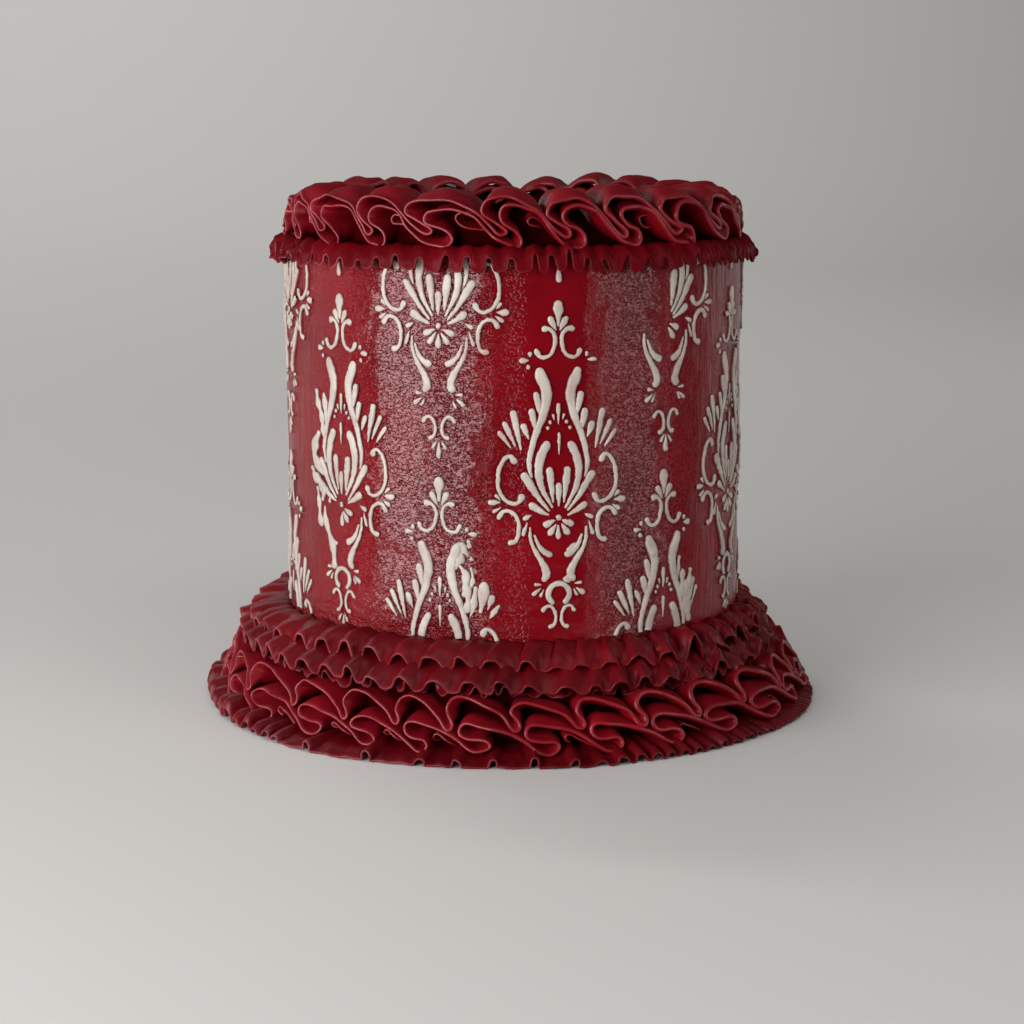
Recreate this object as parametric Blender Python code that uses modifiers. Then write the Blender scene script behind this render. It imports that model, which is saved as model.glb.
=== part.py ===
"""A tall round layer cake: smooth red buttercream, raised stencilled icing, piped ruffle borders.

Metres, +Z up, the centre of the cake's underside at the origin, the front at -Y.
Angles round the cake are 0 at the front and grow to the right.
"""

import math
import random

import bmesh
import bpy

# Driving sizes

MM = 0.001
BODY_RADIUS = 0.0775
BODY_HEIGHT = 0.158
BODY_SIDES = 40

ICING_RED = (0.27, 0.008, 0.018, 1.0)
PIPED_RED = (0.20, 0.006, 0.013, 1.0)
ICING_IVORY = (0.80, 0.74, 0.66, 1.0)

# Raised stencilled icing, in millimetres from the hub of the flower in each ornament

RELIEF = 0.0013
RELIEF_ROOT = 0.0008
RELIEF_CROWN = 0.66  # width of a stroke's top, as a share of its foot
REPEAT_HEIGHT = 0.1165
FIRST_HUB = 0.0738
HALF_DROP = 0.0605
STENCIL_LOW, STENCIL_HIGH = 0.0385, 0.1515
SHORTEST_STROKE = 2.0
NEAR = 0.01
FRONT_COLUMNS = 6
ALL_COLUMNS = 12
FIRST_COLUMN = math.radians(-74.0)
FRONT_PITCH = math.radians(28.2)

# A stroke is a list of stations: across, up and width. Those off the centre line are mirrored.
STROKES = {
    "finial": ((0.0, 60.8, 1.6), (0.0, 68.6, 3.2)),
    "leaf": ((5.5, 47.6, 2.0), (3.8, 41.0, 3.6), (5.2, 31.5, 3.0), (8.9, 14.5, 1.2)),
    "centre petal": ((0.0, 3.9, 1.0), (0.0, 10.8, 2.4)),
    "inner petal": ((1.9, 5.2, 1.0), (2.9, 15.9, 2.9)),
    "tall petal": ((2.3, 3.6, 0.9), (6.5, 14.0, 2.6), (3.9, 24.2, 2.6)),
    "side petal": ((3.5, 2.5, 1.0), (11.2, 14.0, 2.9)),
    "scroll": ((13.8, 18.4, 2.0), (18.4, 17.2, 1.9), (18.6, 7.2, 1.9), (12.2, 5.6, 2.0)),
    "lower leaf": ((9.0, -3.7, 0.9), (7.4, -11.2, 1.7), (4.0, -18.8, 3.0)),
}

# Piped ruffles: a wedge of icing whose thin edge waves. Each place is (radius, height)

TOP_SKIRT = {
    "waves": 87, "steps": 2, "seed": 3, "root_top": (0.0779, 0.1584), "root_foot": (0.0779, 0.1534),
    "edge": (0.0823, 0.1546), "swing": (0.0008, 0.0020),
}
BASE_UPPER_RUFFLE = {
    "waves": 65, "steps": 2, "seed": 5, "root_top": (0.0779, 0.0372), "root_foot": (0.0779, 0.0281),
    "edge": (0.0888, 0.0295), "swing": (0.0006, 0.0022),
}
BASE_LOWER_RUFFLE = {
    "waves": 68, "steps": 2, "seed": 7, "root_top": (0.0779, 0.0275), "root_foot": (0.0779, 0.0209),
    "edge": (0.0938, 0.0231), "swing": (0.0007, 0.0019),
}
BASE_SKIRT = {
    "waves": 80, "steps": 2, "seed": 9, "root_top": (0.0779, 0.0036), "root_foot": (0.0779, 0.0),
    "edge": (0.1047, 0.0017), "swing": (-0.0006, 0.0017),
}
WAVE_UNEVENNESS = 0.32

# Piped scroll rows: one ribbon folded to and fro, fused to a ring of icing. "front" says at how
# many degrees the front units start, and the others are spaced about evenly

SCROLL_LINE = (
    (0.13, 0.66), (0.24, 0.91), (0.56, 0.96), (0.90, 0.72),
    (1.22, 0.14), (1.50, 0.05), (1.53, 0.26), (1.32, 0.47),
)
TOP_SCROLLS = {
    "units": 23, "seed": 11, "front": (-57.3, -39.1, -26.3, -6.95, 7.4, 21.4, 36.0, 53.3),
    "rim_low": (0.0780, 0.1594), "rim_high": (0.0776, 0.1757),
    "root_low": (0.0640, 0.1630), "root_high": (0.0640, 0.1772), "ribbon": 0.0020,
    "ring": ((0.0700, 0.1706), (0.0718, 0.1584), (0.0628, 0.1584), (0.0636, 0.1706)),
}
BASE_SCROLLS = {
    "units": 32, "seed": 13,
    "front": (-55.4, -43.5, -32.3, -21.9, -12.6, -0.5, 9.75, 20.4, 31.5, 44.2, 56.8),
    "rim_low": (0.1010, 0.0044), "rim_high": (0.0945, 0.0203),
    "root_low": (0.0840, 0.0062), "root_high": (0.0840, 0.0192), "ribbon": 0.0018,
    "ring": ((0.0880, 0.0176), (0.0930, 0.0042), (0.0790, 0.0042), (0.0790, 0.0192)),
}
RING_SIDES = 24
UNIT_UNEVENNESS = 0.10


def clear_scene():
    for item in list(bpy.data.objects):
        bpy.data.objects.remove(item, do_unlink=True)


def collection_named(name):
    made = bpy.data.collections.new(name)
    bpy.context.scene.collection.children.link(made)
    return made


def icing(name, colour, roughness):
    made = bpy.data.materials.new(name)
    made.use_nodes = True
    shader = made.node_tree.nodes["Principled BSDF"]
    shader.inputs["Base Color"].default_value = colour
    shader.inputs["Roughness"].default_value = roughness
    return made


def on_ring(angle, radius, height):
    return (radius * math.sin(angle), -radius * math.cos(angle), height)


def between(start, end, share):
    return tuple(a + (b - a) * share for a, b in zip(start, end))


def new_piece(name, corners, faces, collection, material):
    """A solid from its corners and faces, with every face turned outwards."""
    mesh = bpy.data.meshes.new(name)
    mesh.from_pydata(corners, [], faces)
    mesh.materials.append(material)
    shape = bmesh.new()
    shape.from_mesh(mesh)
    bmesh.ops.recalc_face_normals(shape, faces=shape.faces)
    shape.to_mesh(mesh)
    shape.free()
    piece = bpy.data.objects.new(name, mesh)
    collection.objects.link(piece)
    return piece


def loft(name, sections, closed, collection, material):
    """A solid through sections of equal corner count, closed into a ring or capped at both ends."""
    count = len(sections[0])
    corners = [corner for section in sections for corner in section]
    faces = []
    for i in range(len(sections) if closed else len(sections) - 1):
        here, there = i * count, (i + 1) % len(sections) * count
        for j in range(count):
            k = (j + 1) % count
            faces.append((here + j, here + k, there + k, there + j))
    if not closed:
        last = (len(sections) - 1) * count
        faces.append(tuple(range(count - 1, -1, -1)))
        faces.append(tuple(last + j for j in range(count)))
    return new_piece(name, corners, faces, collection, material)


def turned(name, profile, sides, collection, material):
    """A solid turned round Z from a profile of (radius, height), listed down its outer side."""
    closed = profile[0][0] > 0.0
    corners = [(radius, 0.0, height) for radius, height in profile]
    mesh = bpy.data.meshes.new(name)
    edges = [(i, i + 1) for i in range(len(profile) - 1)]
    if closed:
        edges.append((len(profile) - 1, 0))
    mesh.from_pydata(corners, edges, [])
    mesh.materials.append(material)
    piece = bpy.data.objects.new(name, mesh)
    collection.objects.link(piece)
    screw = piece.modifiers.new("turn", "SCREW")
    screw.axis = "Z"
    screw.steps = screw.render_steps = sides
    screw.use_merge_vertices = True
    screw.merge_threshold = 0.0001
    return piece


def settle(piece):
    """Keeps the shape that the modifiers give, and drops them."""
    graph = bpy.context.evaluated_depsgraph_get()
    mesh = bpy.data.meshes.new_from_object(piece.evaluated_get(graph))
    piece.modifiers.clear()
    piece.data = mesh


def fuse(piece, additions, solver="EXACT"):
    """Unites the piece with a whole collection of pieces, and removes that collection."""
    union = piece.modifiers.new("fuse", "BOOLEAN")
    union.operation = "UNION"
    union.operand_type = "COLLECTION"
    union.collection = additions
    union.solver = solver
    settle(piece)
    for item in list(additions.objects):
        bpy.data.objects.remove(item, do_unlink=True)
    bpy.data.collections.remove(additions)


def uneven_shares(count, unevenness, seed):
    """Widths that differ at random and add up to 1."""
    draw = random.Random(seed)
    widths = [1.0 + unevenness * draw.uniform(-1.0, 1.0) for _ in range(count)]
    return [width / sum(widths) for width in widths]


def wave_angles(ruffle):
    angle = 0.0
    for share in uneven_shares(ruffle["waves"], WAVE_UNEVENNESS, ruffle["seed"]):
        for step in range(ruffle["steps"]):
            part = step / ruffle["steps"]
            yield angle + math.tau * share * part, math.cos(math.tau * part)
        angle += math.tau * share


def make_ruffle(name, ruffle, collection, material):
    """A ring of icing, wedge-shaped in section, whose outer edge waves up and down."""
    sections = []
    for angle, wave in wave_angles(ruffle):
        radius, height = (e + s * wave for e, s in zip(ruffle["edge"], ruffle["swing"]))
        sections.append((
            on_ring(angle, *ruffle["root_top"]),
            on_ring(angle, radius, height),
            on_ring(angle, *ruffle["root_foot"]),
        ))
    return loft(name, sections, True, collection, material)


def unit_edges(row):
    """The angle where each unit starts: the front ones as given, the others spaced evenly."""
    edges = [math.radians(degrees) for degrees in row["front"]]
    left = row["units"] - len(edges) + 1
    gap = edges[0] + math.tau - edges[-1]
    for share in uneven_shares(left, UNIT_UNEVENNESS, row["seed"]):
        edges.append(edges[-1] + gap * share)
    return edges


def angle_at(edges, place):
    """The angle of a place counted in units round the row, on past its last unit too."""
    turns, rest = divmod(place, len(edges) - 1)
    index = int(rest)
    return math.tau * turns + edges[index] + (rest - index) * (edges[index + 1] - edges[index])


def scroll_sections(row):
    """Three corners at each point of the folded ribbon: its thin rim, and its root's two faces."""
    edges = unit_edges(row)
    line = [(unit + u, v) for unit in range(row["units"]) for u, v in SCROLL_LINE]
    rows_high = row["rim_high"][1] - row["rim_low"][1]
    for i, (place, share) in enumerate(line):
        before, after = line[i - 1], line[(i + 1) % len(line)]
        angle = angle_at(edges, place)
        run = (angle_at(edges, after[0]) - angle_at(edges, before[0]) + math.pi) % math.tau - math.pi
        along, rise = run * row["rim_low"][0], (after[1] - before[1]) * rows_high
        length = math.hypot(along, rise)
        rim = between(row["rim_low"], row["rim_high"], share)
        radius, height = between(row["root_low"], row["root_high"], share)
        lift = 0.5 * row["ribbon"] * along / length
        turn = 0.5 * row["ribbon"] * rise / length / radius
        yield (
            on_ring(angle, *rim),
            on_ring(angle - turn, radius, height + lift),
            on_ring(angle + turn, radius, height - lift),
        )


def make_scroll_row(name, row, collection, material):
    """A row of S-scrolls: a ribbon folded to and fro, fused to a ring of icing."""
    ribbons = collection_named(name + " ribbon")
    loft(name + " ribbon", list(scroll_sections(row)), True, ribbons, material)
    piece = turned(name, row["ring"], RING_SIDES, collection, material)
    fuse(piece, ribbons)
    return piece


def shortened(stations, low, high):
    """The stretch of a stroke that lies between two heights, cut at them."""
    kept = []
    for start, end in zip(stations, stations[1:]):
        rise = end[1] - start[1]
        shares = [0.0, 1.0] + [(level - start[1]) / rise for level in (low, high) if rise]
        for share in sorted(share for share in shares if 0.0 <= share <= 1.0):
            station = between(start, end, share)
            if low - NEAR <= station[1] <= high + NEAR and (
                not kept or math.dist(kept[-1], station) > NEAR
            ):
                kept.append(station)
    return kept


def stroke_sections(stations, centre, hub):
    """Four corners at each station of a stroke: sunk into the side, and standing out of it."""
    last = len(stations) - 1
    for i, (across, up, width) in enumerate(stations):
        before, after = stations[max(i - 1, 0)], stations[min(i + 1, last)]
        run = math.dist(before[:2], after[:2])
        side = ((after[1] - before[1]) / run, (before[0] - after[0]) / run)
        section = []
        for radius, half in (
            (BODY_RADIUS - RELIEF_ROOT, 0.5 * width),
            (BODY_RADIUS + RELIEF, 0.5 * width * RELIEF_CROWN),
        ):
            pair = [
                on_ring(
                    centre + MM * (across + sign * half * side[0]) / BODY_RADIUS,
                    radius,
                    hub + MM * (up + sign * half * side[1]),
                )
                for sign in (-1.0, 1.0)
            ]
            section += pair if radius < BODY_RADIUS else pair[::-1]
        yield section


def column_angles():
    """Where the columns of ornaments stand: an even pitch in front, the rest shared out behind."""
    back_pitch = (math.tau - FRONT_PITCH * (FRONT_COLUMNS - 1)) / (ALL_COLUMNS - FRONT_COLUMNS + 1)
    angle = FIRST_COLUMN
    for column in range(ALL_COLUMNS):
        yield column, angle
        angle += FRONT_PITCH if column < FRONT_COLUMNS - 1 else back_pitch


def add_ornaments(body, material):
    """Raised stencilled icing: the ornaments of every other column are half a repeat lower."""
    strokes = collection_named("stencilled icing")
    for column, centre in column_angles():
        lowest = FIRST_HUB if column % 2 else FIRST_HUB + HALF_DROP - REPEAT_HEIGHT
        for hub in (lowest, lowest + REPEAT_HEIGHT):
            low, high = (STENCIL_LOW - hub) / MM, (STENCIL_HIGH - hub) / MM
            for name, stations in STROKES.items():
                for mirror in (-1.0, 1.0) if stations[0][0] else (1.0,):
                    placed = [(mirror * x, y, w) for x, y, w in stations]
                    cut = shortened(placed, low, high)
                    if len(cut) > 1 and math.dist(cut[0][:2], cut[-1][:2]) > SHORTEST_STROKE:
                        loft(name, list(stroke_sections(cut, centre, hub)), False, strokes, material)
    fuse(body, strokes, "MANIFOLD")


def main():
    clear_scene()
    cake = collection_named("lambeth_cake")
    smooth_red = icing("smooth red buttercream", ICING_RED, 0.25)
    piped_red = icing("piped red buttercream", PIPED_RED, 0.32)
    ivory = icing("ivory icing", ICING_IVORY, 0.45)

    side = ((0.0, BODY_HEIGHT), (BODY_RADIUS, BODY_HEIGHT), (BODY_RADIUS, 0.0), (0.0, 0.0))
    body = turned("cake_body", side, BODY_SIDES, cake, smooth_red)
    add_ornaments(body, ivory)

    make_ruffle("top_skirt_ruffle", TOP_SKIRT, cake, piped_red)
    make_scroll_row("top_scroll_border", TOP_SCROLLS, cake, piped_red)
    make_ruffle("base_upper_ruffle", BASE_UPPER_RUFFLE, cake, piped_red)
    make_ruffle("base_lower_ruffle", BASE_LOWER_RUFFLE, cake, piped_red)
    make_scroll_row("base_scroll_border", BASE_SCROLLS, cake, piped_red)
    make_ruffle("base_skirt_ruffle", BASE_SKIRT, cake, piped_red)


main()
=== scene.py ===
"""A tall round layer cake in red buttercream, with raised ivory stencilled ornaments, piped S-scroll
borders and ruffles. Metres, +Z up, the front at -Y; angles grow to the right from the front."""

import math
import random

import bpy
import numpy as np
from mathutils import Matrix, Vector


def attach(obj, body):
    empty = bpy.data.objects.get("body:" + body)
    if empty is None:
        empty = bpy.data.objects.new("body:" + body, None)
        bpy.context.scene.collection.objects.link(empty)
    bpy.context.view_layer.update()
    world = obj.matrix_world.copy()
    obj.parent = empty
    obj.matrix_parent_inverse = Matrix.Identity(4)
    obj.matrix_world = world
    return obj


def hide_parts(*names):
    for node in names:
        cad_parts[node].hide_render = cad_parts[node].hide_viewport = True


MM = 0.001
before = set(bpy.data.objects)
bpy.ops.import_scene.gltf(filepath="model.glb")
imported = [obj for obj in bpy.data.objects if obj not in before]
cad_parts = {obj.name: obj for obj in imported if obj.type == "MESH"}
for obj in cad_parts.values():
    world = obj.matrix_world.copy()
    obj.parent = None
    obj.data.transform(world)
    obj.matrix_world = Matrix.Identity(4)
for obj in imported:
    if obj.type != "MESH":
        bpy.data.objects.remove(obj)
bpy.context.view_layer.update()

BODY_RADIUS = 77.5
TAU = math.tau


# Helpers for numbers

def eased(x):
    x = np.clip(x, 0.0, 1.0)
    return x * x * (3.0 - 2.0 * x)


def wobble(angle, other, seed, waves, low, high):
    """A smooth random surface, about -1 to 1, that closes on itself round the cake."""
    draw = np.random.default_rng(seed)
    total = 0.0
    for _ in range(waves):
        turns = int(draw.integers(low, high + 1))
        slope = draw.uniform(-1.0, 1.0) * high / 80.0
        total = total + np.sin(turns * angle + slope * other + draw.uniform(0.0, TAU))
    return total / math.sqrt(0.5 * waves) / 1.6


def spline(points, steps):
    """Catmull-Rom through the rows of points, ends repeated."""
    ends = np.vstack([2 * points[0] - points[1], points, 2 * points[-1] - points[-2]])
    t = (np.arange(steps) / steps)[None, :, None]
    a, b, c, d = (ends[i:len(ends) - 3 + i, None, :] for i in range(4))
    curve = 0.5 * (2 * b + (c - a) * t + (2 * a - 5 * b + 4 * c - d) * t ** 2
                   + (3 * b - a - 3 * c + d) * t ** 3)
    return np.vstack([curve.reshape(-1, points.shape[1]), points[-1:]])


def respaced(line, spacing, scale):
    """The line's points at an even spacing, measured with its columns times scale."""
    steps = np.linalg.norm(np.diff(line[:, :len(scale)] * scale, axis=0), axis=1)
    run = np.concatenate([[0.0], np.cumsum(steps)])
    count = max(2, int(round(run[-1] / spacing)))
    wanted = np.linspace(0.0, run[-1], count + 1)
    return np.stack([np.interp(wanted, run, column) for column in line.T], axis=1)


def value_at(table, angle):
    """A value round the cake, straight between the table's pairs of degrees and value."""
    degrees, values = zip(*table)
    return np.interp(np.degrees(angle), degrees, values, period=360.0)


def smoothed(values, reach):
    """Values on a ring, averaged over a bell of this reach."""
    count = len(values)
    offsets = np.minimum(np.arange(count), count - np.arange(count))
    bell = np.exp(-0.5 * (offsets / reach) ** 2)
    spectrum = np.fft.rfft(bell / bell.sum())
    return np.fft.irfft(np.fft.rfft(values) * spectrum, count)


def smoothed_turn(angles, reach):
    """The same for angles that go once round the cake."""
    trend = np.arange(len(angles)) * TAU / len(angles)
    return smoothed(angles - trend, reach) + trend


def angle_of(points):
    return np.arctan2(points[..., 0], -points[..., 1])


def to_space(angle, radius, height):
    return np.stack([radius * np.sin(angle), -radius * np.cos(angle), height + 0.0 * angle], axis=-1)


def unit(vectors):
    return vectors / np.maximum(np.linalg.norm(vectors, axis=-1, keepdims=True), 1e-9)


# Helpers for meshes

def linked(name, data):
    made = bpy.data.objects.new(name, data)
    bpy.context.scene.collection.objects.link(made)
    return made


def mesh_piece(name, points, quads, material, nodes, rims=None, extra=()):
    """A smooth-shaded mesh from points in millimetres, riding on the cake."""
    mesh = bpy.data.meshes.new(name)
    mesh.from_pydata((points * MM).tolist(), [], quads.tolist() + list(extra))
    mesh.shade_smooth()
    mesh.materials.append(material)
    if rims is not None:
        # Painted rim lighting: on the maroon icings a painted highlight, strongest on the lit left; on the
        # ivory a painted contact shade all round
        pale = 1.0 if material == IVORY else value_at(RIM_HIGHLIGHT_PAINT, angle_of(points))
        rim_paint_shares = (rims * pale).astype(np.float32)
        mesh.attributes.new("rim", "FLOAT", "POINT").data.foreach_set("value", rim_paint_shares)
    piece = linked(name, mesh)
    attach(piece, "root")
    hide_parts(*nodes)


def grid_quads(rows, columns, start=0, closed_rows=True, closed_columns=True):
    i = np.arange(rows if closed_rows else rows - 1)
    j = np.arange(columns if closed_columns else columns - 1)
    i, j = (part.ravel() for part in np.meshgrid(i, j, indexing="ij"))
    i, next_i = i * columns, (i + 1) % rows * columns
    next_j = (j + 1) % columns
    return start + np.stack([i + j, next_i + j, next_i + next_j, i + next_j], axis=1)


class Builder:
    """Gathers grids of points into one mesh."""

    def __init__(self):
        self.points, self.quads, self.rims, self.count = [], [], [], 0

    def add(self, grid, rims=0.0, closed_rows=True):
        rows, columns = grid.shape[:2]
        self.points.append(grid.reshape(-1, 3))
        self.quads.append(grid_quads(rows, columns, self.count, closed_rows))
        self.rims.append(np.broadcast_to(rims, (rows, columns)).ravel())
        self.count += rows * columns

    def piece(self, name, material, slot, nodes):
        mesh_piece(name, np.vstack(self.points), np.vstack(self.quads), material, nodes,
                   rims=np.concatenate(self.rims))


RIM_ARC = np.radians((75.0, 38.0, 0.0, -38.0, -75.0))
# Round the cake, in degrees: the strength of the painted highlight on the rims, strongest on the lit left,
# and how many times thicker the scrolls' lips
RIM_HIGHLIGHT_PAINT = ((-180, 0.3), (-95, 0.85), (-45, 0.7), (-25, 0.4), (5, 0.08), (55, 0.0), (110, 0.05))
PLUMP = ((-180, 1.3), (-60, 1.0), (-30, 1.15), (10, 1.8), (35, 2.7), (110, 2.5), (180, 1.3))


def rounded_edge(middle, out, normal, half, turns):
    """Rows of points round the sheet's edge, half its thickness from the middle."""
    return [(middle + half * (out * math.cos(turn) + normal * math.sin(turn)))[:, None] for turn in turns]


def sheet(builder, surface, half, rim_highlight_share, closed=True, both_rims=False, lips=0.0):
    """A thin sheet of icing round a centre surface, which runs along the rim and then inward."""
    if closed:
        along = np.roll(surface, -1, 0) - np.roll(surface, 1, 0)
    else:
        along = np.gradient(surface, axis=0)
    normal = unit(np.cross(along, np.gradient(surface, axis=1)))
    plump = value_at(PLUMP, angle_of(surface))
    thick = (half * (1.0 + (plump - 1.0) * lips))[..., None]
    top, bottom = surface + normal * thick, surface - normal * thick
    out = unit(surface[:, 0] - surface[:, 1])
    # The rim's painted highlight: full on the rounded edge rows, the given share on the faces near the rim
    ends = [[1.0]] * len(RIM_ARC)
    edge = rounded_edge(surface[:, 0], out, normal[:, 0], thick[:, 0], RIM_ARC)
    parts = [top[:, ::-1]] + edge + [bottom]
    rim_paint_shares = [rim_highlight_share[::-1]] + ends + [rim_highlight_share]
    if both_rims:
        inward = unit(surface[:, -1] - surface[:, -2])
        parts += rounded_edge(surface[:, -1], inward, normal[:, -1], thick[:, -1], -RIM_ARC)
        rim_paint_shares += ends
    builder.add(np.concatenate(parts, axis=1), np.concatenate(rim_paint_shares), closed_rows=closed)


# Materials

def new_material(name):
    made = bpy.data.materials.new(name)
    made.use_nodes = True
    return made, made.node_tree, made.node_tree.nodes["Principled BSDF"]


def feed(tree, node, inputs):
    """Links each input to another node's output, or sets its number or its colour without alpha."""
    for key, value in inputs.items():
        if isinstance(value, bpy.types.NodeSocket):
            tree.links.new(value, node.inputs[key])
        else:
            node.inputs[key].default_value = (*value, 1.0) if isinstance(value, tuple) else value


def noise(tree, scale, squeeze=1.0, **values):
    """Noise in object space, its features squeezed this many times in height."""
    node = tree.nodes.new("ShaderNodeTexNoise")
    coordinates = tree.nodes.get("places") or tree.nodes.new("ShaderNodeTexCoord")
    coordinates.name = "places"
    stretch = tree.nodes.new("ShaderNodeVectorMath")
    stretch.operation = "MULTIPLY"
    stretch.inputs[1].default_value = (1.0, 1.0, squeeze)
    feed(tree, stretch, {0: coordinates.outputs["Object"]})
    feed(tree, node, {"Vector": stretch.outputs["Vector"], "Scale": scale, **values})
    return node.outputs["Fac"]


def parts_of(tree, kind):
    """The X, Y and Z of each point's place or normal."""
    node = tree.nodes.new("ShaderNodeSeparateXYZ")
    feed(tree, node, {"Vector": tree.nodes["places"].outputs[kind]})
    return node.outputs


# The share of painted rim lighting at each point, read from its attribute
def painted_rim_lighting_of(tree):
    node = tree.nodes.new("ShaderNodeAttribute")
    node.attribute_name = "rim"
    return node.outputs["Fac"]


def ranged(tree, source, low, high, start, end):
    node = tree.nodes.new("ShaderNodeMapRange")
    feed(tree, node, {"Value": source, "From Min": low, "From Max": high, "To Min": start, "To Max": end})
    return node.outputs["Result"]


def combined(tree, operation, *sources):
    node = tree.nodes.new("ShaderNodeMath")
    node.operation = operation
    feed(tree, node, dict(enumerate(sources)))
    return node.outputs["Value"]


def product(tree, result, *factors):
    for factor in factors:
        result = combined(tree, "MULTIPLY", result, factor)
    return result


def mixed(tree, factor, first, second):
    node = tree.nodes.new("ShaderNodeMix")
    node.data_type = "RGBA"
    feed(tree, node, {"Factor": factor, 6: first, 7: second})
    return node.outputs[2]


def patchy(tree, patches, first, second):
    return mixed(tree, ranged(tree, patches, *MIDDLE, 0.0, 1.0), first, second)


def bump(tree, height, distance, strength, under=None):
    node = tree.nodes.new("ShaderNodeBump")
    feed(tree, node, {"Height": height, "Distance": distance, "Strength": strength})
    if under:
        feed(tree, node, {"Normal": under})
    return node.outputs["Normal"]


# The range that most of a noise's values fill, and the one over which a surface turns to face up
MIDDLE = (0.35, 0.65)
UPWARD = (0.35, 0.85)


def smooth_icing():
    """Glossy crimson buttercream with the knife's marks: pits, specks, side streaks, low rumples."""
    made, tree, shader = new_material("smooth crimson icing")
    patches = noise(tree, 26.0, Detail=3.0, Roughness=0.55)
    swells = noise(tree, 95.0, squeeze=1.3, Detail=2.0, Roughness=0.5)
    drags = noise(tree, 760.0, squeeze=1.9, Detail=3.0, Roughness=0.62, Distortion=0.6)
    streaks = noise(tree, 420.0, squeeze=0.09, Detail=3.0, Roughness=0.6)
    grain = noise(tree, 800.0, squeeze=1.1, Detail=2.0, Roughness=0.5)
    rumples = noise(tree, 190.0, squeeze=1.8, Detail=3.0, Roughness=0.6, Distortion=0.8)
    places = parts_of(tree, "Object")
    x, z = places["X"], places["Z"]
    calm_top = ranged(tree, z, 0.1560, 0.1575, 1.0, 0.25)
    speckled_left = product(tree, ranged(tree, x, -0.030, -0.016, 0.10, 1.0),
                            ranged(tree, x, -0.010, 0.008, 1.0, 0.0))
    speckled_right = product(tree, ranged(tree, x, 0.022, 0.032, 0.0, 0.9),
                             ranged(tree, x, 0.043, 0.050, 1.0, 0.1))
    speckled = product(tree, combined(tree, "ADD", speckled_left, speckled_right), calm_top)
    pitted = combined(tree, "ADD", ranged(tree, x, -0.020, -0.006, 1.0, 0.06),
                      ranged(tree, x, 0.022, 0.036, 0.0, 0.75))
    pitted = product(tree, pitted, ranged(tree, x, -0.050, -0.042, 0.35, 1.0),
                     ranged(tree, x, 0.043, 0.050, 1.0, 0.20), calm_top)
    rumpled = product(tree, ranged(tree, z, 0.036, 0.047, 0.9, 0.0),
                      ranged(tree, x, -0.022, -0.004, 1.0, 0.0))
    streaked = ranged(tree, combined(tree, "ABSOLUTE", x), 0.056, 0.072, 0.0, 0.8)
    under = bump(tree, ranged(tree, z, 0.0, 0.2, 0.0, -0.026), 1.0, 1.0)
    under = bump(tree, rumples, 0.0034, rumpled, under)
    under = bump(tree, swells, 0.0011, 0.5, under)
    under = bump(tree, ranged(tree, grain, 0.52, 0.62, 0.0, 1.0), 0.0006, speckled, under)
    under = bump(tree, streaks, 0.0012, streaked, under)
    under = bump(tree, ranged(tree, drags, 0.41, 0.50, 0.0, 1.0), 0.00032, pitted, under)
    feed(tree, shader, {
        "Base Color": patchy(tree, patches, (0.108, 0.0009, 0.0034), (0.150, 0.0013, 0.0049)),
        "Roughness": ranged(tree, patches, *MIDDLE, 0.07, 0.14),
        "Normal": under,
        "Specular IOR Level": 0.28,
    })
    return made


def piped_icing(name, first, second, matt, shine, dulled=0.45, kept=0.2):
    """Satin maroon buttercream with a pale pink painted highlight along its rims. Where it faces up it is
    duller by the first share and keeps the second share of its shine."""
    made, tree, shader = new_material(name)
    patches = noise(tree, 60.0, Detail=3.0)
    fine = noise(tree, 900.0, Detail=4.0)
    drag = noise(tree, 160.0, Detail=3.0)
    # Painted highlight: pale pink mixed into the rims, broken up by the drag noise
    edge = product(tree, painted_rim_lighting_of(tree), ranged(tree, drag, 0.35, 0.62, 0.15, 1.0))
    colour = mixed(tree, edge, patchy(tree, patches, first, second), (0.30, 0.055, 0.068))
    facing = parts_of(tree, "Normal")["Z"]
    rough = combined(tree, "ADD", ranged(tree, fine, 0.3, 0.7, matt, matt + 0.1),
                     ranged(tree, facing, *UPWARD, 0.0, dulled))
    under = bump(tree, drag, 0.0012, 0.25)
    under = bump(tree, fine, 0.0002, 0.15, under)
    level = ranged(tree, facing, *UPWARD, shine, kept * shine) if shine else 0.0
    feed(tree, shader, {"Base Color": colour, "Roughness": rough, "Normal": under,
                        "Specular IOR Level": level})
    return made


def ivory_icing():
    """Soft ivory icing pushed through a stencil, thin in places, with a dark red painted contact shade
    along its rims.
    """
    made, tree, shader = new_material("ivory stencilled icing")
    patches = noise(tree, 140.0, Detail=3.0)
    fine = noise(tree, 1300.0, Detail=4.0)
    thin = ranged(tree, noise(tree, 75.0, Detail=4.0, Roughness=0.6), 0.52, 0.72, 0.0, 0.75)
    colour = patchy(tree, patches, (0.335, 0.285, 0.25), (0.42, 0.37, 0.325))
    colour = mixed(tree, thin, colour, (0.30, 0.175, 0.16))
    # Painted contact shade: dark red on the strokes' sides, where they meet the body
    colour = mixed(tree, painted_rim_lighting_of(tree), colour, (0.10, 0.012, 0.015))
    under = bump(tree, patches, 0.0009, 0.35)
    under = bump(tree, fine, 0.0003, 0.35, under)
    feed(tree, shader, {"Base Color": colour, "Normal": under, "Roughness": 0.5, "Subsurface Weight": 0.12,
                        "Subsurface Scale": 1.0})
    shader.inputs["Subsurface Radius"].default_value = (0.0012, 0.0008, 0.0006)
    return made


SMOOTH = smooth_icing()
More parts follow.
